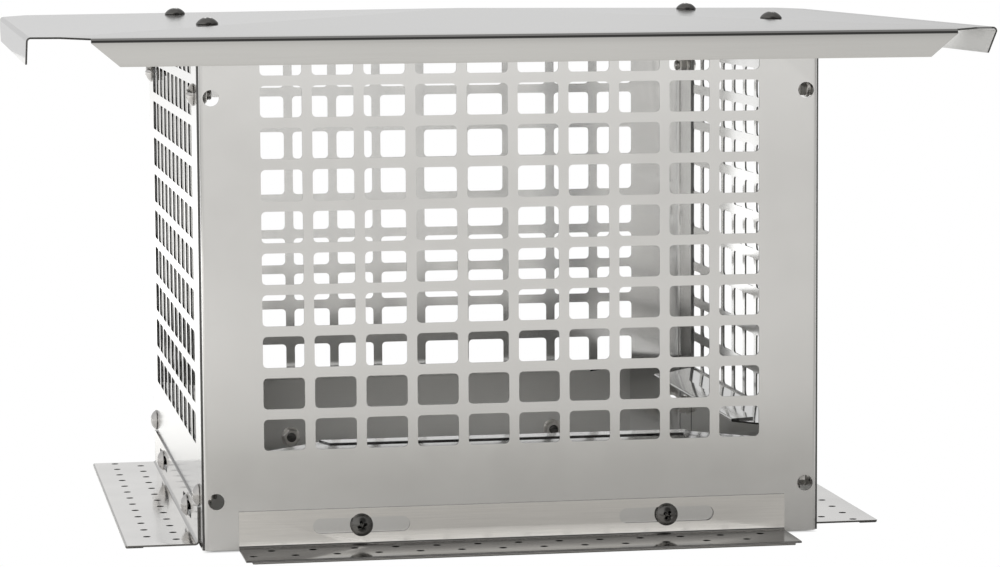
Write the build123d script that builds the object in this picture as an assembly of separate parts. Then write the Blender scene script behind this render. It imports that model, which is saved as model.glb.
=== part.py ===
from build123d import *
import os
from math import atan, degrees

# Chimney cap of folded stainless sheet, in millimetres, +Z up, front towards -Y.
# The origin is at the plan centre, on the plane that the bracket hems rest on.
# The pieces of a wall are drawn in a wall frame: outside face at Y = 0, inside of the box towards +Y.

# Sheet stock
sheet = 0.8
bend_radius = 1.2  # inside a fold

# Box of four panels, over the outside faces
body_width = 279.4
body_depth = 279.4
body_height = 227.85  # lower edge of the panels to the fold of the lid

# Slots punched in every panel
grille_columns = 10
grille_rows = 10
grille_margin = 27.6  # side edge of the panel to the nearest slot
grille_base = 43.8  # lower edge of the panel to the lowest row
grille_drop = 4.75  # fold of the lid down to the top row
upright_strip = 4.46  # sheet left between two columns
level_strip = 4.48  # sheet left between two rows

# Folded edges of the panels
return_clearance = 0.6  # free edge of a return to the nearest slot
top_flange = 19.0  # fold that carries the lid, along the side panels
hip_clearance = 5.0  # end of that fold to the hip of the lid

# Lid
side_overhang = 74.3
end_overhang = 52.3
lid_rise = 6.5  # fold to the peak
lid_flange = 12.0
lid_corner = 26.0  # cut off each corner, along either side
lid_bend = 1.6  # outside of the fold
seat_gap = 0.05  # lid to what it sits on

# Ledges inside the box
rest_reach = 26.5
rest_hem = 11.5
rest_hem_taper = 3.7  # hem shorter at its free edge, each end
rest_clearance = 0.5  # top of the ledge to the lowest slots
rest_leg_base = 2.0  # lower edge of the panel to the leg's lower edge
rest_end_clearance = 1.7  # end of the ledge to a return

# Base brackets
bracket_setback = 15.9  # end of the bracket to the corner of the box
bracket_reach = 32.0
bracket_hem = 8.0
hem_setback = 3.0
slot_length = 43.4
slot_width = 6.8
slot_corner = 2.0  # cut off each corner of a slot
hem_sides = 8  # flats round the nose of a hem
slide_gap = 0.1  # bracket to the panel behind it and to the screw heads in front
perforation = 3.5
perforation_count = 13
perforation_sides = 6
perforation_margin = 4.2  # end of the bracket to the nearest hole
inner_row = 8.5  # leg of the bracket to each row of holes
outer_row = 21.0

# Screws and nuts
screw_diameter = 5.0
screw_length = 8.0
head_diameter = 10.2
head_height = 3.2
head_flat = 6.4
head_sides = 8
screw_sides = 6  # flats of the shank and of the holes that it passes through
nut_across = 8.0
nut_height = 4.2
screw_play = 0.5
thread_play = 0.1
fixing_spacing = 138.4  # bracket screws, along a wall
fixing_height = 9.6
corner_inset = 17.5  # corner screws, from the front or back face
corner_base = 22.6
corner_drop = 27.35  # fold of the lid down to the upper corner screws
head_clearance = 0.4  # top of a bracket to the heads of the lower corner screws
face_hole = 7.2  # empty holes in the front and back faces
face_hole_sides = 8
face_hole_inset = 6.2
face_hole_drop = 0.8  # below the level of the corner screws
lid_screw_spacing = 177.2
lid_screw_inset = 9.6

# Levels and plan sizes that follow from these
fold_radius = bend_radius + sheet / 2
panel_base = sheet
eave = panel_base + body_height
lid_width = body_width + 2 * side_overhang
lid_depth = body_depth + 2 * end_overhang
side_slope = 2 * lid_rise / lid_width
end_slope = 2 * lid_rise / lid_depth
end_panel_top = eave - sheet + end_slope * end_overhang - seat_gap
side_panel_top = eave - sheet + side_slope * side_overhang - seat_gap
corner_levels = [panel_base + corner_base, eave - corner_drop]
fixing_level = panel_base + fixing_height
return_depth = grille_margin - return_clearance
through = 8 * sheet
screw_hole = RegularPolygon((screw_diameter + screw_play) / 2, screw_sides)

turns = {"front": 0, "right": 90, "back": 180, "left": 270}
half_width, half_depth = body_width / 2, body_depth / 2
distances = {"front": half_depth, "right": half_width, "back": half_depth, "left": half_width}


def at_wall(name, piece):
    """A piece drawn in the wall frame, stood at that wall of the box."""
    return Rot(0, 0, turns[name]) * Pos(0, -distances[name], 0) * piece


def fold_section(points):
    """Section of a sheet folded along a mid line through the points."""
    return trace(FilletPolyline(*points, radius=fold_radius), line_width=sheet)


def hem_section(nose, free_edge, seam, side):
    """Section of a closed hem: a layer above or below the seam, and the nose that folds it back."""
    layer = Pos((nose + free_edge) / 2, seam + side * sheet / 2) * Rectangle(abs(nose - free_edge), sheet)
    round_nose = RegularPolygon(sheet, hem_sides, major_radius=False, rotation=180 / hem_sides)
    return layer + Pos(nose, seam) * round_nose


def run(section, length):
    """Upright section, in the Y and Z of the wall, run along the wall."""
    return extrude(Plane.YZ * section, amount=length / 2, both=True)


def prism(outline, low, high):
    """Plan outline raised from one level to another."""
    return Pos(0, 0, low) * extrude(make_face(Polyline(*outline, close=True)), amount=high - low)


def punch(outline):
    """Cutter for a small hole, through a sheet at the origin."""
    return extrude(outline, amount=through / 2, both=True)


def wall_hole(outline, x, z):
    return Pos(x, 0, z) * Rot(90, 0, 0) * punch(outline)


def both(value):
    return (-value, value)


def grille(length):
    """All the slots of one panel, as a block to cut away."""
    width = (length - 2 * grille_margin - (grille_columns - 1) * upright_strip) / grille_columns
    span = body_height - grille_base - grille_drop
    height = (span - (grille_rows - 1) * level_strip) / grille_rows
    places = GridLocations(width + upright_strip, height + level_strip, grille_columns, grille_rows)
    slots = Sketch() + places * Rectangle(width, height)
    middle = panel_base + grille_base + span / 2
    return Pos(0, 0, middle) * extrude(Plane.XZ * slots, amount=through / 2, both=True)


def end_panel():
    """Front or back panel: both upright edges folded back into returns that lie inside the side panels."""
    corner = body_width / 2 - 1.5 * sheet
    points = [(-corner, return_depth), (-corner, sheet / 2), (corner, sheet / 2), (corner, return_depth)]
    panel = Pos(0, 0, panel_base) * extrude(fold_section(points), amount=end_panel_top - panel_base)
    panel -= grille(body_width)
    for z in corner_levels:
        for x in both(body_width / 2 - face_hole_inset):
            panel -= wall_hole(RegularPolygon(face_hole / 2, face_hole_sides), x, z - face_hole_drop)
        for x in both(corner):
            panel -= Pos(x, corner_inset, z) * Rot(0, 0, 90) * Rot(90, 0, 0) * punch(screw_hole)
    for x in both(fixing_spacing / 2):
        panel -= wall_hole(screw_hole, x, fixing_level)
    return panel


def side_panel():
    """Left or right panel: flat, with its top edge folded in under the lid and cut back at both ends."""
    length = body_depth - 2 * (bend_radius + sheet)
    flange_top = side_panel_top + side_slope * top_flange
    points = [
        (sheet / 2, panel_base),
        (sheet / 2, side_panel_top - sheet / 2),
        (top_flange, flange_top - sheet / 2),
    ]
    panel = run(fold_section(points), length)
    flange_end = lid_depth / lid_width * (body_width / 2 - top_flange) - hip_clearance
    fold_start = side_panel_top - bend_radius - 2 * sheet
    notch = extrude(Rectangle(length / 2 - flange_end, 3 * top_flange), amount=lid_flange)
    for x in both((length / 2 + flange_end) / 2):
        panel -= Pos(x, 0, fold_start) * notch
    panel -= grille(body_depth)
    for z in corner_levels:
        for x in both(body_depth / 2 - corner_inset):
            panel -= wall_hole(screw_hole, x, z)
    for x in both(fixing_spacing / 2):
        panel -= wall_hole(screw_hole, x, fixing_level)
    for place in lid_screw_places():
        panel -= place * punch(screw_hole)
    return panel


def lid():
    """Very shallow hipped sheet with its edges turned down and its corners cut off."""
    plan = Rectangle(lid_width, lid_depth)
    slab = Pos(0, 0, eave - sheet) * extrude(plan, amount=sheet)
    peak = loft([Pos(0, 0, eave) * plan, Vertex(0, 0, eave + lid_rise)])
    top = slab + peak - Pos(0, 0, -sheet) * peak
    outline = chamfer(plan.vertices(), lid_corner)
    top &= Pos(0, 0, eave - lid_flange) * extrude(outline, amount=2 * lid_flange + lid_rise)
    for turn, length, reach in ((0, lid_width, lid_depth / 2), (90, lid_depth, lid_width / 2)):
        upper = length / 2 - lid_corner
        lower = upper - lid_flange
        edge = [(-upper, 0), (upper, 0), (lower, -lid_flange), (-lower, -lid_flange)]
        flange = extrude(Plane.XZ * make_face(Polyline(*edge, close=True)), amount=sheet)
        for half_turn in (turn, turn + 180):
            top += Rot(0, 0, half_turn) * Pos(0, sheet - reach, eave) * flange
    outer_folds = [e for e in top.edges() if abs(e.center().Z - eave) < sheet / 100]
    top = fillet(outer_folds, lid_bend)
    under = eave - sheet
    inner_folds = [e for e in top.edges() if abs(e.center().Z - under) < sheet / 8]
    top = fillet([e for e in inner_folds if e.length > 2 * lid_corner], lid_bend - sheet)
    for name in ("left", "right"):
        for place in lid_screw_places():
            top -= at_wall(name, place * punch(screw_hole))
    return top


def rest_angle(length):
    """Ledge inside a wall: leg down the panel, shelf with slanted ends, hem on top of its inner edge."""
    back = 1.5 * sheet
    shelf_top = panel_base + grille_base - rest_clearance
    leg_base = panel_base + rest_leg_base
    inner = sheet + rest_reach
    nose = inner - sheet
    hem_edge = inner - rest_hem
    shelf = fold_section([(back, leg_base), (back, shelf_top - sheet / 2), (nose, shelf_top - sheet / 2)])
    root_half = length / 2 - return_depth - rest_end_clearance
    angle = run(shelf + hem_section(nose, hem_edge, shelf_top, 1), 2 * root_half)
    nose_half = root_half - rest_reach
    hem_half = nose_half - rest_hem_taper
    shelf_plan = [(-root_half, sheet), (root_half, sheet), (nose_half, inner), (-nose_half, inner)]
    hem_plan = [(-nose_half, inner), (nose_half, inner), (hem_half, hem_edge), (-hem_half, hem_edge)]
    angle &= prism(shelf_plan, leg_base, shelf_top) + prism(hem_plan, shelf_top, shelf_top + sheet)
    for x in both(fixing_spacing / 2):
        angle -= wall_hole(screw_hole, x, fixing_level)
    return angle


def bracket(length):
    """Base bracket: slotted leg outside the panel, perforated flange, hem folded under its outer edge."""
    half = length / 2 - bracket_setback
    leg = -slide_gap - sheet
    leg_top = panel_base + corner_base - head_diameter / 2 - head_clearance
    middle = leg + sheet / 2
    nose = leg - bracket_reach + sheet
    level = panel_base + sheet / 2
    flange = fold_section([(middle, leg_top), (middle, level), (nose, level)])
    piece = run(flange + hem_section(nose, nose + bracket_hem, panel_base, -1), 2 * half)
    notch = extrude(Rectangle(hem_setback, 3 * bracket_hem), amount=panel_base)
    for x in both(half - hem_setback / 2):
        piece -= Pos(x, nose, 0) * notch
    slot = chamfer(Rectangle(slot_length, slot_width).vertices(), slot_corner)
    for x in both(fixing_spacing / 2):
        piece -= Pos(0, leg, 0) * wall_hole(slot, x, fixing_level)
    return piece - perforations(half, leg)


def perforations(half, leg):
    """Two staggered rows of small holes; the inner row's end holes are round, for the anchor screws."""
    pitch = 2 * (half - perforation_margin) / perforation_count
    small_hole = RegularPolygon(perforation / 2, perforation_sides)
    inner = Pos(0, leg - inner_row) * GridLocations(pitch, 1, perforation_count - 2, 1)
    outer = Pos(-pitch / 2, leg - outer_row) * GridLocations(pitch, 1, perforation_count, 1)
    holes = Sketch() + inner * small_hole + outer * small_hole
    for x in both((perforation_count - 1) / 2 * pitch):
        holes += Pos(x, leg - inner_row) * Circle(perforation / 2)
    return Pos(0, 0, panel_base) * punch(holes)


def screw():
    """Pan-headed screw, its seat at the origin and its head towards +Z."""
    slant = degrees(atan((head_diameter - head_flat) / 2 / head_height))
    head = extrude(RegularPolygon(head_diameter / 2, head_sides), amount=head_height, taper=slant)
    return head + extrude(RegularPolygon(screw_diameter / 2, screw_sides), amount=-screw_length)


def nut():
    """Hexagon nut, its seat at the origin and its body towards -Z."""
    bore = RegularPolygon(screw_diameter / 2 + thread_play, screw_sides)
    return extrude(RegularPolygon(nut_across / 2, 6, major_radius=False) - bore, amount=-nut_height)


def lid_screw_places():
    """Seats of one side panel's lid screws, square to the slope of the lid."""
    level = eave + side_slope * (side_overhang + lid_screw_inset)
    tilt = Rot(degrees(atan(side_slope)), 0, 0)
    return [Pos(x, lid_screw_inset, level) * tilt for x in both(lid_screw_spacing / 2)]


def corner_places():
    """Seats of one side panel's corner screws."""
    across = both(body_depth / 2 - corner_inset)
    return [Pos(x, 0, z) * Rot(90, 0, 0) for x in across for z in corner_levels]


def fixing_places():
    """Seats of one wall's bracket screws, just clear of the bracket."""
    return [Pos(x, -2 * slide_gap - sheet, fixing_level) * Rot(90, 0, 0) for x in both(fixing_spacing / 2)]


def fasteners(piece, wall_names, places, depth=0):
    """One group of like fasteners, each sunk below its seat by a depth."""
    sunk = Pos(0, 0, -depth) * piece
    return Compound([at_wall(name, place * sunk) for name in wall_names for place in places])


ends = ("front", "back")
sides = ("left", "right")
nodes = {"lid": lid()}
for names, panel, length in ((ends, end_panel(), body_width), (sides, side_panel(), body_depth)):
    ledge = rest_angle(length)
    base = bracket(length)
    for name in names:
        nodes[f"{name}_panel"] = at_wall(name, panel)
        nodes[f"{name}_rest_angle"] = at_wall(name, ledge)
        nodes[f"{name}_bracket"] = at_wall(name, base)

nodes["lid_screws"] = fasteners(screw(), sides, lid_screw_places())
nodes["lid_nuts"] = fasteners(nut(), sides, lid_screw_places(), 2 * sheet + 2 * seat_gap)
for name in sides:
    nodes[f"{name}_corner_screws"] = fasteners(screw(), [name], corner_places())
    nodes[f"{name}_corner_nuts"] = fasteners(nut(), [name], corner_places(), 2 * sheet)
bracket_grip = 3 * sheet + 2 * slide_gap
for group, names in {"end": ends, "side": sides}.items():
    nodes[f"{group}_bracket_screws"] = fasteners(screw(), names, fixing_places())
    nodes[f"{group}_bracket_nuts"] = fasteners(nut(), names, fixing_places(), bracket_grip)

os.makedirs("parts", exist_ok=True)
for name, piece in nodes.items():
    export_step(piece, f"parts/{name}.step")
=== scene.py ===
"""Looks of the chimney cap: every sheet piece is cut flat with its holes and then folded."""
from math import atan, cos, pi, radians, sin, tan

import bmesh
import bpy
from mathutils import Matrix, Vector

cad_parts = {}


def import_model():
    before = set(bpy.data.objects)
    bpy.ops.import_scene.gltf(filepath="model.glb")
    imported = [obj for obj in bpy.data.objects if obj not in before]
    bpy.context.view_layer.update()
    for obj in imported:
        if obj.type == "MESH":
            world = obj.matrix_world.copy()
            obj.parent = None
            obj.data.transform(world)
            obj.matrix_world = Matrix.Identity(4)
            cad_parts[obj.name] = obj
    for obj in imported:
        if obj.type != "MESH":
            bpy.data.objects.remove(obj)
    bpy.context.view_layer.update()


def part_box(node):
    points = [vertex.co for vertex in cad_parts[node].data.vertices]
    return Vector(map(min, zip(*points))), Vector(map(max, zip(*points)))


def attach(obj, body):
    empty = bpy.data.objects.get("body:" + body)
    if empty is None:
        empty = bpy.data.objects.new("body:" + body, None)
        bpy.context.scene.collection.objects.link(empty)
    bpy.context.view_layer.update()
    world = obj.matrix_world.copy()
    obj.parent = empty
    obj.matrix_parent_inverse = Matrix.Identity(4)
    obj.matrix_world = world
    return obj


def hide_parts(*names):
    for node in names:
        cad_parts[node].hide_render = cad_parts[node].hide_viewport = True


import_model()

# Sizes in millimetres: the outside of the pieces comes from the frame, the punching is written here
MM = 0.001
ENDS = ("front", "back")
SIDES = ("left", "right")


def low(node, axis):
    """Lowest place of a CAD node along an axis."""
    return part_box(node)[0]["xyz".index(axis)] / MM


def high(node, axis):
    """Highest place of a CAD node along an axis."""
    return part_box(node)[1]["xyz".index(axis)] / MM


sheet = 0.8
fold_radius = 1.6
fold_steps = 6
body_width = 2 * high("right_panel", "x")
body_depth = 2 * high("back_panel", "y")
panel_base = low("front_panel", "z")
panel_top = high("front_panel", "z")
lid_rise = 6.5
eave = high("lid", "z") - lid_rise
lid_width = high("lid", "x") - low("lid", "x")
lid_depth = high("lid", "y") - low("lid", "y")
lid_flange = eave - low("lid", "z")
lid_corner = 26.0
side_slope = 2 * lid_rise / lid_width

grille_count = 10
grille_margin = 27.6
grille_base = panel_base + 43.8
grille_top = eave - 4.75
upright_strip = 4.46
level_strip = 4.48
slot_corner = 2.0
return_depth = high("front_panel", "y") + body_depth / 2
top_flange = body_width / 2 - low("right_panel", "x")
hip_clearance = 5.0
flange_half = lid_depth / lid_width * (body_width / 2 - top_flange) - hip_clearance

bracket_half = high("front_bracket", "x")
bracket_top = high("front_bracket", "z")
bracket_reach = -low("front_bracket", "y") - body_depth / 2
bracket_gap = 0.1
bracket_hem = 8.0
hem_setback = 3.0
slot_length = 43.4
slot_width = 6.8
slot_end_play = 0.01
perforation = 3.5
perforation_count = 13
perforation_margin = 4.2
inner_row = 8.5
outer_row = 21.0

ledge_half = high("front_rest_angle", "x")
ledge_base = low("front_rest_angle", "z")
ledge_top = high("front_rest_angle", "z") - sheet
ledge_reach = 26.5
ledge_hem = 11.5
ledge_hem_taper = 3.7

screw_diameter = 5.0
screw_length = 8.0
head_diameter = 10.2
head_height = 3.2
head_rim = 0.35
nut_across = 8.0
nut_height = 4.2
face_hole = 7.2
face_hole_inset = 6.2
face_hole_drop = 0.8
fixing_half = 69.2
fixing_level = panel_base + 9.6
corner_inset = 17.5
corner_levels = (panel_base + 22.6, eave - 27.35)
lid_screw_half = 88.6
lid_screw_inset = 9.6

TURNS = {"front": 0, "right": 90, "back": 180, "left": 270}
DISTANCES = {wall: body_depth / 2 for wall in ENDS} | {wall: body_width / 2 for wall in SIDES}


def at_wall(name):
    """Wall frame to object frame: the wall's outside face at Y = 0, the inside of the box towards +Y."""
    return Matrix.Rotation(radians(TURNS[name]), 4, "Z") @ Matrix.Translation((0, -DISTANCES[name], 0))


# Outlines in the flat sheet
def arc(cx, cy, radius, start, end, steps):
    angles = [start + (end - start) * i / steps for i in range(steps + 1)]
    return [(cx + radius * cos(angle), cy + radius * sin(angle)) for angle in angles]


def circle(cx, cy, diameter, steps=28):
    return arc(cx, cy, diameter / 2, 0, 2 * pi, steps)[:-1]


def rounded(cx, cy, width, height, radius, steps=5):
    x = width / 2 - radius
    y = height / 2 - radius
    corners = ((x, y, 0), (-x, y, 0.5), (-x, -y, 1), (x, -y, 1.5))
    points = []
    for dx, dy, turn in corners:
        points += arc(cx + dx, cy + dy, radius, turn * pi, (turn + 0.5) * pi, steps)
    return points


def grille(length):
    """Punched slots of one panel."""
    width = (length - 2 * grille_margin - (grille_count - 1) * upright_strip) / grille_count
    height = (grille_top - grille_base - (grille_count - 1) * level_strip) / grille_count
    first = grille_margin - length / 2 + width / 2
    return [
        rounded(
            first + column * (width + upright_strip),
            grille_base + height / 2 + row * (height + level_strip),
            width,
            height,
            slot_corner,
        )
        for column in range(grille_count)
        for row in range(grille_count)
    ]


# Flat sheet and its folds; marks on the mesh tell the finish where the cut edges and the bends are, where it
# paints shade
CUT = "cut_edge"
FOLD = "fold"
# Mark of a painted highlight on the flare of a screw's driver's cross
GLINT = "painted_glint"
# How near points count as one, as lying on a fold line, and as lying at the end of a bend
weld_distance = 1e-4
line_distance = 1e-5
bend_margin = 0.01


def flat_sheet(outline, holes):
    """Punched blank in X and Y, its thickness centred on Z = 0."""
    curve = bpy.data.curves.new("blank", "CURVE")
    curve.dimensions = "2D"
    curve.fill_mode = "BOTH"
    curve.extrude = sheet / 2
    for loop in [outline, *holes]:
        spline = curve.splines.new("POLY")
        spline.points.add(len(loop) - 1)
        for point, (x, y) in zip(spline.points, loop):
            point.co = (x, y, 0, 1)
        spline.use_cyclic_u = True
    holder = bpy.data.objects.new("blank", curve)
    mesh = bpy.data.meshes.new_from_object(holder)
    bm = bmesh.new()
    bm.from_mesh(mesh)
    bmesh.ops.remove_doubles(bm, verts=bm.verts, dist=weld_distance)
    bm.normal_update()
    cut = bm.faces.layers.float.new(CUT)
    bm.verts.layers.float.new(FOLD)
    for face in bm.faces:
        face[cut] = 1.0 if abs(face.normal.z) < 0.5 else 0.0
    bpy.data.meshes.remove(mesh)
    bpy.data.objects.remove(holder)
    bpy.data.curves.remove(curve)
    return bm


def fold_all(bm, folds):
    """Folds from the outermost inwards: axis, side, start, turn (positive to +Z) and mid radius."""
    for axis, side, start, turn, radius in folds:
        normal = Vector((0, 0, 0))
        normal[axis] = 1
        steps = max(2, round(fold_steps * abs(turn) / (pi / 2)))
        for i in range(steps + 1):
            place = normal * side * (start + radius * abs(turn) * i / steps)
            geometry = bm.verts[:] + bm.edges[:] + bm.faces[:]
            bmesh.ops.bisect_plane(bm, geom=geometry, dist=line_distance, plane_co=place, plane_no=normal)
    flat = {vert: vert.co.copy() for vert in bm.verts}
    mark = bm.verts.layers.float[FOLD]
    for fold in folds:
        fold_once(flat, mark, *fold)


def fold_once(flat, mark, axis, side, start, turn, radius):
    """Moves what lies past the start of one fold, and marks what lies in its bend."""
    angle = abs(turn)
    up = 1 if turn > 0 else -1
    length = radius * angle
    for vert, before in flat.items():
        reach = side * before[axis] - start
        if reach <= 0:
            continue
        z = up * vert.co.z
        if reach < length:
            if bend_margin < reach < length - bend_margin:
                vert[mark] = 1.0
            theta = reach / radius
            along = (radius - z) * sin(theta)
            rise = radius - (radius - z) * cos(theta)
        else:
            past = side * vert.co[axis] - start - length
            along = radius * sin(angle) + past * cos(angle) - z * sin(angle)
            rise = radius * (1 - cos(angle)) + past * sin(angle) + z * cos(angle)
        vert.co[axis] = side * (start + along)
        vert.co.z = up * rise


def to_mesh(bm):
    """The shape as a mesh of its own."""
    mesh = bpy.data.meshes.new("part")
    bm.to_mesh(mesh)
    bm.free()
    return mesh


def add_part(whole, bm):
    """Adds one shape to another that gathers several."""
    part = to_mesh(bm)
    whole.from_mesh(part)
    bpy.data.meshes.remove(part)


def finished(bm, name, body, material, smooth_angle=35):
    """Turns millimetres into an object that stands for the CAD node of that name."""
    bmesh.ops.scale(bm, vec=(MM, MM, MM), verts=bm.verts)
    bmesh.ops.recalc_face_normals(bm, faces=bm.faces)
    for face in bm.faces:
        face.smooth = True
    mesh = bpy.data.meshes.new(name)
    bm.to_mesh(mesh)
    bm.free()
    mesh.set_sharp_from_angle(angle=radians(smooth_angle))
    mesh.materials.append(material)
    piece = bpy.data.objects.new(f"{name}_look", mesh)
    bpy.context.scene.collection.objects.link(piece)
    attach(piece, body)
    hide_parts(name)
    return piece


def axes_matrix(x, y, z, origin=(0, 0, 0)):
    """Matrix that sends the flat sheet's X, Y and Z to three directions, and its origin to a point."""
    return Matrix.Translation(origin) @ Matrix((x, y, z)).transposed().to_4x4()


# Materials
# Share of the colour left in the painted shade along the bends
painted_fold_shade = 0.22
# Colour of the painted highlight in the screws' recesses
glint_colour = (0.88, 0.87, 0.86)


def new_material(name):
    material = bpy.data.materials.new(name)
    material.use_nodes = True
    nodes = material.node_tree.nodes
    return material, nodes, material.node_tree.links, nodes["Principled BSDF"]


def steel(name, colour, roughness, grain, grain_depth, fold_shade_strength=0.1, edge_shade=0.16):
    """Rolled stainless: streaks, faint clouds, slight waves, painted shade on folds and cut edges, a painted
    highlight in the screws' recesses.
    """
    material, nodes, links, shader = new_material(name)
    shader.inputs["Metallic"].default_value = 1.0
    place = nodes.new("ShaderNodeTexCoord")

    def noise(stretch, scale, detail):
        mapping = nodes.new("ShaderNodeMapping")
        mapping.inputs["Scale"].default_value = stretch
        texture = nodes.new("ShaderNodeTexNoise")
        texture.inputs["Scale"].default_value = scale
        texture.inputs["Detail"].default_value = detail
        links.new(place.outputs["Object"], mapping.inputs["Vector"])
        links.new(mapping.outputs["Vector"], texture.inputs["Vector"])
        return texture.outputs["Fac"]

    def spread(value, low_value, high_value):
        """The middle of a noise's range, stretched between two values."""
        ranged = nodes.new("ShaderNodeMapRange")
        ranged.inputs["From Min"].default_value = 0.3
        ranged.inputs["From Max"].default_value = 0.7
        ranged.inputs["To Min"].default_value = low_value
        ranged.inputs["To Max"].default_value = high_value
        links.new(value, ranged.inputs["Value"])
        return ranged.outputs["Result"]

    def mixed(mark, strength, first, second):
        """From the first colour to the second where the mesh carries that mark."""
        attribute = nodes.new("ShaderNodeAttribute")
        attribute.attribute_name = mark
        amount = nodes.new("ShaderNodeMath")
        amount.operation = "MULTIPLY"
        amount.inputs[1].default_value = strength
        links.new(attribute.outputs["Fac"], amount.inputs[0])
        mix = nodes.new("ShaderNodeMix")
        mix.data_type = "RGBA"
        links.new(amount.outputs[0], mix.inputs["Factor"])
        links.new(first, mix.inputs[6])
        mix.inputs[7].default_value = (*second, 1)
        return mix.outputs[2]

    streaks = noise(grain, scale=60.0, detail=4.0)
    clouds = noise((1, 1, 1), scale=9.0, detail=3.0)
    waves = noise((1, 1, 1), scale=7.0, detail=1.0)

    shade = nodes.new("ShaderNodeMath")
    shade.operation = "MULTIPLY"
    links.new(spread(streaks, 1.0 - grain_depth, 1.0), shade.inputs[0])
    links.new(spread(clouds, 0.97, 1.0), shade.inputs[1])
    tint = nodes.new("ShaderNodeVectorMath")
    tint.operation = "SCALE"
    tint.inputs[0].default_value = colour
    links.new(shade.outputs[0], tint.inputs["Scale"])
    # Painted shade along the bends
    fold_shaded = mixed(FOLD, fold_shade_strength, tint.outputs["Vector"], [c * painted_fold_shade for c in colour])
    # Painted shade on the cut edges, which keep only a share of the colour
    edge_shaded = mixed(CUT, 1.0, fold_shaded, [c * edge_shade for c in colour])
    # Painted highlight where the mesh carries the glint mark
    glinted = mixed(GLINT, 1.0, edge_shaded, glint_colour)
    links.new(glinted, shader.inputs["Base Color"])
    links.new(spread(streaks, roughness * 0.85, roughness * 1.15), shader.inputs["Roughness"])

    wavy = nodes.new("ShaderNodeBump")
    wavy.inputs["Strength"].default_value = 0.25
    wavy.inputs["Distance"].default_value = 0.0005
    links.new(waves, wavy.inputs["Height"])
    fine = nodes.new("ShaderNodeBump")
    fine.inputs["Strength"].default_value = grain_depth
    fine.inputs["Distance"].default_value = 0.00005
    links.new(streaks, fine.inputs["Height"])
    links.new(wavy.outputs["Normal"], fine.inputs["Normal"])
    links.new(fine.outputs["Normal"], shader.inputs["Normal"])
    return material


# Stretch of the streaks along X, Y and Z
level_grain = (0.6, 0.6, 30.0)
lid_grain = (0.6, 30.0, 30.0)
no_grain = (1, 1, 1)
# Colour, roughness, streaks and their depth; some also the strength of the painted shade on folds, and the
# share of colour that cut edges keep under their painted shade
panel_steel = steel("panel_steel", (0.81, 0.81, 0.805), 0.12, no_grain, 0.03)
lid_steel = steel("lid_steel", (0.60, 0.595, 0.58), 0.09, lid_grain, 0.03, 0.75)
ledge_steel = steel("ledge_steel", (0.74, 0.74, 0.73), 0.10, level_grain, 0.03)
bracket_steel = steel("bracket_steel", (0.95, 0.935, 0.91), 0.11, level_grain, 0.10, 0.75, 0.18)
# One screw steel in two copies: a dark one whose colour is painted shade, for the lid and the ends, and a
# light one whose colour is painted light, for the sides
shaded_screw_steel = steel("dark_screws", (0.13, 0.128, 0.123), 0.22, no_grain, 0.02)
lit_screw_steel = steel("bright_screws", (0.50, 0.49, 0.48), 0.16, no_grain, 0.02)
nut_steel = steel("bright_nuts", (0.82, 0.80, 0.77), 0.30, no_grain, 0.05)


# Panels
def end_panel(name):
    """Front or back: both upright edges folded back into returns."""
    # Middle of a return, which lies against the inside of the side panel
    corner = body_width / 2 - 1.5 * sheet
    start = corner - fold_radius
    half = start + fold_radius * pi / 2 + return_depth - sheet / 2 - fold_radius
    outline = [(-half, panel_base), (half, panel_base), (half, panel_top), (-half, panel_top)]
    holes = grille(body_width)
    for z in corner_levels:
        level = z - face_hole_drop
        holes += [circle(side * (body_width / 2 - face_hole_inset), level, face_hole) for side in (-1, 1)]
    bm = flat_sheet(outline, holes)
    fold_all(bm, [(0, side, start, pi / 2, fold_radius) for side in (-1, 1)])
    bm.transform(at_wall(name) @ axes_matrix((1, 0, 0), (0, 0, 1), (0, 1, 0), (0, sheet / 2, 0)))
    return finished(bm, f"{name}_panel", "cap", panel_steel)


def side_panel(name):
    """Left or right: the top edge folded in to carry the lid, and cut back at both ends."""
    half = high(f"{name}_panel", "y")
    turn = pi / 2 - atan(side_slope)
    corner = eave - sheet + side_slope * (lid_width - body_width) / 2 - sheet / 2
    tangent = fold_radius * tan(turn / 2)
    start = corner - tangent
    tip = start + fold_radius * turn + top_flange - sheet / 2 - tangent
    shoulder = start - sheet
    outline = [
        (-half, panel_base),
        (half, panel_base),
        (half, shoulder),
        (flange_half, shoulder),
        (flange_half, tip),
        (-flange_half, tip),
        (-flange_half, shoulder),
        (-half, shoulder),
    ]
    bm = flat_sheet(outline, grille(body_depth))
    fold_all(bm, [(1, 1, start, turn, fold_radius)])
    bm.transform(at_wall(name) @ axes_matrix((1, 0, 0), (0, 0, 1), (0, 1, 0), (0, sheet / 2, 0)))
    return finished(bm, f"{name}_panel", "cap", panel_steel)


# Ledges and brackets
hem_play = 0.03
hem_radius = sheet / 2 + hem_play
hem_length = hem_radius * pi


def ledge(name):
    """Leg up the inside of the wall, shelf with slanted ends, hem folded back on top."""
    rise = ledge_top - sheet / 2 - ledge_base
    start = rise - fold_radius
    flat_start = start + fold_radius * pi / 2
    nose = flat_start + ledge_reach - sheet / 2 - fold_radius - sheet / 2 - hem_radius
    free = nose + hem_length + ledge_hem - hem_radius - sheet / 2
    nose_half = ledge_half - ledge_reach
    free_half = nose_half - ledge_hem_taper
    half_at = [
        (ledge_half, 0),
        (ledge_half, flat_start),
        (nose_half, nose),
        (nose_half, nose + hem_length),
        (free_half, free),
    ]
    outline = [(-half, t) for half, t in half_at] + [(half, t) for half, t in reversed(half_at)]
    bm = flat_sheet(outline, [])
    fold_all(bm, [(1, 1, nose, -pi, hem_radius), (1, 1, start, pi / 2, fold_radius)])
    bm.transform(at_wall(name) @ axes_matrix((1, 0, 0), (0, 0, 1), (0, 1, 0), (0, 1.5 * sheet, ledge_base)))
    return finished(bm, f"{name}_rest_angle", "cap", ledge_steel)


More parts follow.
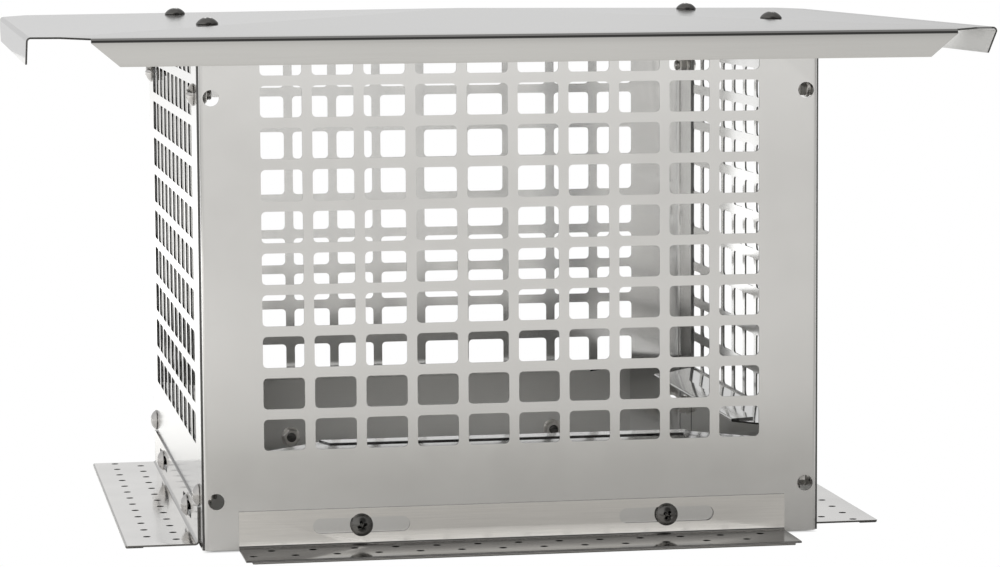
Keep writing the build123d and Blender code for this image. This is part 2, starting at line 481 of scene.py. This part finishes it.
def bracket(name):
    """Slotted leg, perforated flange, hem folded under the outer edge."""
    leg = bracket_gap + sheet / 2
    drop = bracket_top - panel_base - sheet / 2
    start = drop - fold_radius
    flat_start = start + fold_radius * pi / 2
    reach = bracket_reach - bracket_gap - sheet
    flange_zero = flat_start - fold_radius + sheet / 2
    nose = flange_zero + reach - sheet / 2 - hem_radius
    free = nose + hem_length + bracket_hem - hem_radius - sheet / 2
    step = bracket_half - hem_setback
    half_at = [(bracket_half, 0), (bracket_half, nose), (step, nose + hem_length / 2), (step, free)]
    outline = [(-half, t) for half, t in half_at] + [(half, t) for half, t in reversed(half_at)]
    slot_line = bracket_top - fixing_level
    slot_end = slot_width / 2 - slot_end_play
    holes = []
    for side in (-1, 1):
        holes.append(rounded(side * fixing_half, slot_line, slot_length, slot_width, slot_end, steps=10))
    pitch = 2 * (bracket_half - perforation_margin) / perforation_count
    for i in range(perforation_count):
        x = (i - (perforation_count - 1) / 2) * pitch
        holes.append(circle(x, flange_zero + inner_row, perforation, steps=16))
        holes.append(circle(x - pitch / 2, flange_zero + outer_row, perforation, steps=16))
    bm = flat_sheet(outline, holes)
    fold_all(bm, [(1, 1, nose, -pi, hem_radius), (1, 1, start, pi / 2, fold_radius)])
    bm.transform(at_wall(name) @ axes_matrix((1, 0, 0), (0, 0, -1), (0, -1, 0), (0, -leg, bracket_top)))
    return finished(bm, f"{name}_bracket", f"{name}_bracket", bracket_steel)


# Lid
def lid():
    """Four facets folded from flat triangles, each with its turned-down flange, joined along the hips."""
    keep = 1 - 2 * lid_corner / (lid_width + lid_depth)
    whole = bmesh.new()
    for turn, length, depth in ((0, lid_width, lid_depth), (90, lid_depth, lid_width)):
        slope = atan(2 * lid_rise / depth)
        bend = pi / 2 - slope
        tangent = fold_radius * tan(bend / 2)
        start = (depth / 2 - sheet / 2) / cos(slope) - tangent
        straight = lid_flange - sheet / 2 - tangent
        edge = length / 2 - lid_corner
        fold_end = start + fold_radius * bend
        half_at = [
            (0, 0),
            (keep * length / 2, keep * depth / 2 / cos(slope)),
            (edge, start),
            (edge, fold_end),
            (edge - lid_flange, fold_end + straight),
        ]
        outline = [(-half, t) for half, t in half_at[1:]] + [(half, t) for half, t in reversed(half_at)]
        for half_turn in (turn, turn + 180):
            bm = flat_sheet(outline, [])
            fold_all(bm, [(1, 1, start, -bend, fold_radius)])
            tilt = axes_matrix((1, 0, 0), (0, -cos(slope), -sin(slope)), (0, -sin(slope), cos(slope)))
            peak = Matrix.Translation((0, 0, eave + lid_rise - sheet / 2))
            bm.transform(Matrix.Rotation(radians(half_turn), 4, "Z") @ peak @ tilt)
            add_part(whole, bm)
    return finished(whole, "lid", "cap", lid_steel, smooth_angle=25)


# Screws and nuts
head_steps = 10
head_edge = 0.25
thread_play = 0.05
tip_rise = 0.2
tip_step = 0.8
nut_flange = 0.9
nut_flange_rim = 0.5
nut_flange_height = 1.3
nut_flange_step = 0.4
nut_body_start = 1.0
nut_chamfer = 0.6
nut_face_step = 0.1
# Driver's cross, from its flare down to its point: level from the head's top, length and width of an arm
cross_levels = ((0.9, 7.4, 2.9), (-0.5, 4.5, 1.15), (-2.2, 1.9, 0.55))
# Painted highlight on the cross: how far it reaches from the axis, and how deep below the dome it lies
cross_reach = 4.08
cross_flare = (0.05, 0.7)
# Turn of the first fastener of a node about its own axis, and from each to the next, in degrees
first_turn = 20
next_turn = 37


def lathe(profile, steps=28):
    """Turned solid from radius and height pairs, closed on the axis at both ends."""
    bm = bmesh.new()
    verts = [bm.verts.new((r, 0, z)) for r, z in profile]
    edges = [bm.edges.new(pair) for pair in zip(verts, verts[1:])]
    bmesh.ops.spin(bm, geom=verts + edges, axis=(0, 0, 1), cent=(0, 0, 0), angle=2 * pi, steps=steps)
    bmesh.ops.remove_doubles(bm, verts=bm.verts, dist=weld_distance)
    bmesh.ops.recalc_face_normals(bm, faces=bm.faces)
    return bm


def thread_profile(top, bottom, pitch=0.8, depth=0.28):
    """Ridges of a fine thread, from a level down to the end of the shank."""
    radius = screw_diameter / 2 - thread_play
    points = []
    z = top
    while z - pitch > bottom:
        points += [(radius, z), (radius - depth, z - pitch / 2)]
        z -= pitch
    return points + [(radius - depth, bottom + tip_rise), (radius - tip_step, bottom), (0, bottom)]


def dome_level(radius):
    """Height of the head's domed top at a distance from its axis."""
    rise = head_height - head_rim
    ball = ((head_diameter / 2) ** 2 + rise ** 2) / (2 * rise)
    return head_height - ball + (ball ** 2 - radius ** 2) ** 0.5


def cross_blade(turn):
    """One arm of the driver's cross: a wide flare at the top, then steeper down to the point."""
    bm = bmesh.new()
    rings = []
    corners = ((-1, -1), (1, -1), (1, 1), (-1, 1))
    for level, length, width in cross_levels:
        z = head_height + level
        rings.append([bm.verts.new((x * length / 2, y * width / 2, z)) for x, y in corners])
    for upper, lower in zip(rings, rings[1:]):
        for i in range(4):
            bm.faces.new((upper[i], upper[i - 1], lower[i - 1], lower[i]))
    bm.faces.new(rings[0])
    bm.faces.new(reversed(rings[-1]))
    bmesh.ops.recalc_face_normals(bm, faces=bm.faces)
    bm.transform(Matrix.Rotation(turn, 4, "Z"))
    return bm


def screw_mesh():
    """Domed pan head with a cross recess, on a threaded shank; seat at the origin, head towards +Z."""
    rim = head_diameter / 2
    radii = [rim * i / head_steps for i in range(head_steps + 1)]
    dome = [(radius, dome_level(radius)) for radius in radii]
    edge = [(rim, head_edge), (rim - head_edge, 0)]
    mesh = to_mesh(lathe(dome + edge + thread_profile(0, -screw_length)))
    for turn in (0, pi / 2):
        mesh = boolean_cut(mesh, to_mesh(cross_blade(turn)))
    # Painted highlight on the faces of the cross's flare
    painted_glint = mesh.attributes.new(GLINT, "FLOAT", "FACE")
    for face in mesh.polygons:
        x, y, z = face.center
        radius = (x * x + y * y) ** 0.5
        in_flare = radius < cross_reach and cross_flare[0] < dome_level(radius) - z < cross_flare[1]
        painted_glint.data[face.index].value = 1.0 if in_flare else 0.0
    return mesh


def boolean_cut(solid, cutter):
    """The solid with the cutter taken out of it, as a mesh."""
    objects = []
    for name, mesh in (("solid", solid), ("cutter", cutter)):
        objects.append(bpy.data.objects.new(name, mesh))
        bpy.context.scene.collection.objects.link(objects[-1])
    modifier = objects[0].modifiers.new("recess", "BOOLEAN")
    modifier.object = objects[1]
    modifier.solver = "EXACT"
    graph = bpy.context.evaluated_depsgraph_get()
    cut = bpy.data.meshes.new_from_object(objects[0].evaluated_get(graph))
    for item in objects:
        bpy.data.objects.remove(item)
    return cut


def nut_mesh():
    """Flanged hexagon nut with chamfered corners; seat at the origin, body towards -Z."""
    bore = screw_diameter / 2
    flat = nut_across / 2
    corner = flat / cos(pi / 6)
    rim = flat + nut_flange
    body_profile = [
        (bore, -nut_body_start),
        (corner, -nut_body_start),
        (corner, nut_chamfer - nut_height),
        (flat - nut_face_step, -nut_height),
        (bore, -nut_height),
    ]
    flange_profile = [
        (bore, 0),
        (rim, 0),
        (rim, -nut_flange_rim),
        (flat - nut_flange_step, -nut_flange_height),
        (bore, -nut_flange_height),
    ]
    whole = bmesh.new()
    add_part(whole, lathe(body_profile, steps=6))
    add_part(whole, lathe(flange_profile))
    return to_mesh(whole)


# Places of the fasteners of one wall, in its wall frame: seats at a depth below the outside face
def lid_places(depth):
    tilt = Matrix.Rotation(atan(side_slope), 4, "X")
    level = eave + side_slope * ((lid_width - body_width) / 2 + lid_screw_inset)
    sunk = Matrix.Translation((0, 0, -depth))
    seats = [(side * lid_screw_half, lid_screw_inset, level) for side in (-1, 1)]
    return [Matrix.Translation(seat) @ tilt @ sunk for seat in seats]


def corner_places(depth):
    across = body_depth / 2 - corner_inset
    turned = Matrix.Rotation(pi / 2, 4, "X")
    seats = [(side * across, depth, z) for side in (-1, 1) for z in corner_levels]
    return [Matrix.Translation(seat) @ turned for seat in seats]


def fixing_places(depth):
    turned = Matrix.Rotation(pi / 2, 4, "X")
    # Past the leg of the bracket and the gaps on both of its sides
    y = depth - 2 * bracket_gap - sheet
    seats = [(side * fixing_half, y, fixing_level) for side in (-1, 1)]
    return [Matrix.Translation(seat) @ turned for seat in seats]


def fasteners(name, mesh, walls, places, material):
    """All the fasteners of one node, each turned a little differently about its own axis."""
    whole = bmesh.new()
    count = 0
    for wall in walls:
        for place in places:
            spin = Matrix.Rotation(radians(next_turn * count + first_turn), 4, "Z")
            copy = mesh.copy()
            copy.transform(at_wall(wall) @ place @ spin)
            whole.from_mesh(copy)
            bpy.data.meshes.remove(copy)
            count += 1
    return finished(whole, name, "cap", material, smooth_angle=40)


for end in ENDS:
    end_panel(end)
for side_name in SIDES:
    side_panel(side_name)
for wall_name in ENDS + SIDES:
    ledge(wall_name)
    bracket(wall_name)
lid()

screw = screw_mesh()
nut = nut_mesh()
fasteners("lid_screws", screw, SIDES, lid_places(0), shaded_screw_steel)
fasteners("lid_nuts", nut, SIDES, lid_places(2 * sheet), nut_steel)
for side_name in SIDES:
    wall = [side_name]
    fasteners(f"{side_name}_corner_screws", screw, wall, corner_places(0), lit_screw_steel)
    fasteners(f"{side_name}_corner_nuts", nut, wall, corner_places(2 * sheet), nut_steel)
# Side screws take the copy with painted light, end screws the copy with painted shade
for group, walls, screw_look in (("end", ENDS, shaded_screw_steel), ("side", SIDES, lit_screw_steel)):
    fasteners(f"{group}_bracket_screws", screw, walls, fixing_places(0), screw_look)
    clamped = fixing_places(3 * sheet + 2 * bracket_gap)
    fasteners(f"{group}_bracket_nuts", nut, walls, clamped, nut_steel)


# Stage
# Metres, but for the width in millimetres of the shadow's soft edge inside the walls
FLOOR_HALF = 6.0
FLOOR_BEHIND = 1.0
FLOOR_DROP = 0.0002
SHADOW_EDGE = 6.0
# Floor, from its front edge to a place behind the object: colour with a painted shadow close in front, and
# the painted glow that far floor adds in the reflections
PAINTED_FLOOR_SHADE = [
    (0.0, (0.74, 0.73, 0.71)),
    (0.57, (0.68, 0.67, 0.65)),
    (0.714, (0.66, 0.65, 0.63)),
    (0.779, (0.57, 0.56, 0.54)),
    (0.80, (0.46, 0.45, 0.43)),
    (0.812, (0.47, 0.46, 0.44)),
    (0.824, (0.57, 0.56, 0.54)),
    (0.838, (0.68, 0.67, 0.65)),
    (0.90, (0.82, 0.82, 0.81)),
    (1.0, (0.82, 0.82, 0.81)),
]
FAR_FLOOR_GLOW = [
    (0.0, (0.36, 0.355, 0.345)),
    (0.14, (0.34, 0.335, 0.325)),
    (0.57, (0.18, 0.177, 0.171)),
    (0.714, (0.10, 0.098, 0.095)),
    (0.79, (0.0, 0.0, 0.0)),
    (0.86, (0.0, 0.0, 0.0)),
    (0.93, (0.08, 0.08, 0.08)),
    (1.0, (0.46, 0.46, 0.46)),
]
# Studio walls, from the front of the object to behind it, and from its left to its right
FRONT_TO_BACK = [
    (0.0, (0.92, 0.91, 0.89)),
    (0.3, (0.85, 0.84, 0.83)),
    (0.7, (0.72, 0.72, 0.72)),
    (1.0, (0.72, 0.72, 0.72)),
]
LEFT_TO_RIGHT = [
    (0.0, (1.3, 1.3, 1.3)),
    (0.35, (1.0, 1.0, 1.0)),
    (0.6, (1.0, 1.0, 1.0)),
    (0.68, (0.82, 0.82, 0.82)),
    (1.0, (0.45, 0.45, 0.45)),
]
# Unlit part of the studio behind the camera: its direction, and the cosines of its soft rim
UNLIT_AXIS = (0.177, -0.768, 0.616)
UNLIT_RIM = (cos(radians(33.5)), cos(radians(21)))
UNLIT_LEVEL = 0.17


def ramp_node(nodes, stops):
    """Grey ramp over values from 0 to 1, each stop a position and a linear colour."""
    ramp = nodes.new("ShaderNodeValToRGB")
    elements = ramp.color_ramp.elements
    for element, (position, colour) in zip(elements, (stops[0], stops[-1])):
        element.position = position
        element.color = (*colour, 1)
    for position, colour in stops[1:-1]:
        elements.new(position).color = (*colour, 1)
    return ramp


def beyond_walls(nodes, links, split):
    """0 on the floor inside the box, where it stays in shadow, and 1 outside."""
    sizes = []
    for axis in ("X", "Y"):
        size = nodes.new("ShaderNodeMath")
        size.operation = "ABSOLUTE"
        links.new(split.outputs[axis], size.inputs[0])
        sizes.append(size.outputs[0])
    largest = nodes.new("ShaderNodeMath")
    largest.operation = "MAXIMUM"
    links.new(sizes[0], largest.inputs[0])
    links.new(sizes[1], largest.inputs[1])
    edge = nodes.new("ShaderNodeMapRange")
    edge.inputs["From Min"].default_value = (body_width / 2 - SHADOW_EDGE) * MM
    edge.inputs["From Max"].default_value = body_width / 2 * MM
    links.new(largest.outputs[0], edge.inputs["Value"])
    return edge.outputs["Result"]


def floor():
    """Pale floor, white to the camera and clear from below; in the reflections it is grey close in front
    with a painted shadow, and further out a painted glow brightens it.
    """
    size = FLOOR_HALF
    mesh = bpy.data.meshes.new("floor")
    corners = [(-size, -size, 0), (size, -size, 0), (size, size, 0), (-size, size, 0)]
    mesh.from_pydata(corners, [], [(0, 1, 2, 3)])
    piece = bpy.data.objects.new("floor", mesh)
    piece.location.z = -FLOOR_DROP
    bpy.context.scene.collection.objects.link(piece)
    material, nodes, links, shader = new_material("floor")
    shader.inputs["Roughness"].default_value = 0.9
    shader.inputs["Specular IOR Level"].default_value = 0.0
    place = nodes.new("ShaderNodeTexCoord")
    split = nodes.new("ShaderNodeSeparateXYZ")
    reach = nodes.new("ShaderNodeMapRange")
    reach.inputs["From Min"].default_value = -FLOOR_HALF
    reach.inputs["From Max"].default_value = FLOOR_BEHIND
    links.new(place.outputs["Object"], split.inputs["Vector"])
    links.new(split.outputs["Y"], reach.inputs["Value"])
    floor_shade = ramp_node(nodes, PAINTED_FLOOR_SHADE)
    links.new(reach.outputs["Result"], floor_shade.inputs["Fac"])
    links.new(floor_shade.outputs["Color"], shader.inputs["Base Color"])
    path = nodes.new("ShaderNodeLightPath")
    white = nodes.new("ShaderNodeEmission")
    white.inputs["Color"].default_value = (1, 1, 1, 1)
    mix = nodes.new("ShaderNodeMixShader")
    outside = nodes.new("ShaderNodeMath")
    outside.operation = "MULTIPLY"
    links.new(path.outputs["Is Camera Ray"], outside.inputs[0])
    links.new(beyond_walls(nodes, links, split), outside.inputs[1])
    links.new(outside.outputs[0], mix.inputs["Fac"])
    # Painted glow of the floor, seen only in reflections
    far_glow = ramp_node(nodes, FAR_FLOOR_GLOW)
    links.new(reach.outputs["Result"], far_glow.inputs["Fac"])
    links.new(far_glow.outputs["Color"], shader.inputs["Emission Color"])
    links.new(path.outputs["Is Glossy Ray"], shader.inputs["Emission Strength"])
    links.new(shader.outputs["BSDF"], mix.inputs[1])
    links.new(white.outputs["Emission"], mix.inputs[2])
    side = nodes.new("ShaderNodeNewGeometry")
    clear = nodes.new("ShaderNodeBsdfTransparent")
    seen = nodes.new("ShaderNodeMixShader")
    links.new(side.outputs["Backfacing"], seen.inputs["Fac"])
    links.new(mix.outputs["Shader"], seen.inputs[1])
    links.new(clear.outputs["BSDF"], seen.inputs[2])
    links.new(seen.outputs["Shader"], nodes["Material Output"].inputs["Surface"])
    mesh.materials.append(material)


def world():
    """White to the camera; in reflections a studio, brightest to the left and unlit behind the camera."""
    scene = bpy.context.scene
    scene.world = bpy.data.worlds.new("studio")
    scene.world.use_nodes = True
    nodes = scene.world.node_tree.nodes
    links = scene.world.node_tree.links
    sky = nodes["Background"]
    place = nodes.new("ShaderNodeTexCoord")
    split = nodes.new("ShaderNodeSeparateXYZ")
    links.new(place.outputs["Generated"], split.inputs["Vector"])

    def shade(axis, stops):
        span = nodes.new("ShaderNodeMapRange")
        span.inputs["From Min"].default_value = -1.0
        ramp = ramp_node(nodes, stops)
        links.new(split.outputs[axis], span.inputs["Value"])
        links.new(span.outputs["Result"], ramp.inputs["Fac"])
        return ramp.outputs["Color"]

    both_ways = nodes.new("ShaderNodeVectorMath")
    both_ways.operation = "MULTIPLY"
    links.new(shade("Y", FRONT_TO_BACK), both_ways.inputs[0])
    links.new(shade("X", LEFT_TO_RIGHT), both_ways.inputs[1])
    toward = nodes.new("ShaderNodeVectorMath")
    toward.operation = "DOT_PRODUCT"
    toward.inputs[1].default_value = Vector(UNLIT_AXIS).normalized()
    links.new(place.outputs["Generated"], toward.inputs[0])
    lit = nodes.new("ShaderNodeMapRange")
    lit.interpolation_type = "SMOOTHSTEP"
    lit.inputs["From Min"].default_value = UNLIT_RIM[0]
    lit.inputs["From Max"].default_value = UNLIT_RIM[1]
    lit.inputs["To Min"].default_value = 1.0
    lit.inputs["To Max"].default_value = UNLIT_LEVEL
    links.new(toward.outputs["Value"], lit.inputs["Value"])
    dimmed = nodes.new("ShaderNodeVectorMath")
    dimmed.operation = "SCALE"
    links.new(both_ways.outputs["Vector"], dimmed.inputs[0])
    links.new(lit.outputs["Result"], dimmed.inputs["Scale"])
    links.new(dimmed.outputs["Vector"], sky.inputs["Color"])
    path = nodes.new("ShaderNodeLightPath")
    white = nodes.new("ShaderNodeBackground")
    white.inputs["Color"].default_value = (1, 1, 1, 1)
    mix = nodes.new("ShaderNodeMixShader")
    links.new(path.outputs["Is Camera Ray"], mix.inputs["Fac"])
    links.new(sky.outputs["Background"], mix.inputs[1])
    links.new(white.outputs["Background"], mix.inputs[2])
    links.new(mix.outputs["Shader"], nodes["World Output"].inputs["Surface"])


def softbox(name, place, aim, size, power):
    """Area light for the floor and the shadows, not seen in the reflections."""
    light = bpy.data.lights.new(name, "AREA")
    light.shape = "RECTANGLE"
    light.size, light.size_y = size
    light.energy = power
    lamp = bpy.data.objects.new(name, light)
    lamp.location = place
    lamp.rotation_euler = (Vector(aim) - Vector(place)).to_track_quat("-Z", "Y").to_euler()
    bpy.context.scene.collection.objects.link(lamp)
    lamp.visible_glossy = False


def camera():
    """Camera fitted to the photograph's view: yaw, pitch and roll in radians, place in millimetres."""
    yaw, pitch, roll = 0.1706, 0.1017, -0.0057
    place = Vector((-274.926, -1699.779, 277.238 + panel_base)) * MM
    focal_pixels = 3584.8
    image_width = 1000
    forward = Vector((sin(yaw) * cos(pitch), cos(yaw) * cos(pitch), -sin(pitch)))
    right = Vector((cos(yaw), -sin(yaw), 0))
    up = right.cross(forward)
    rolled_right = cos(roll) * right + sin(roll) * up
    rolled_up = cos(roll) * up - sin(roll) * right
    data = bpy.data.cameras.new("camera")
    data.sensor_width = 36.0
    data.lens = focal_pixels / image_width * data.sensor_width
    data.clip_start = 0.01
    eye = bpy.data.objects.new("camera", data)
    turn = Matrix((rolled_right, rolled_up, -forward)).transposed().to_4x4()
    eye.matrix_world = Matrix.Translation(place) @ turn
    bpy.context.scene.collection.objects.link(eye)
    bpy.context.scene.camera = eye


floor()
world()
softbox("left_softbox", place=(-1.5, -0.3, 0.6), aim=(0, 0, 0.12), size=(1.2, 1.0), power=17)
softbox("top_softbox", place=(-0.3, 0.6, 2.0), aim=(0, 0, 0.1), size=(2.0, 1.6), power=18)
softbox("floor_softbox", place=(-1.1, 1.7, 1.6), aim=(-0.7, 1.2, 0), size=(1.2, 1.2), power=10)
camera()
bpy.context.scene.view_settings.view_transform = "Standard"
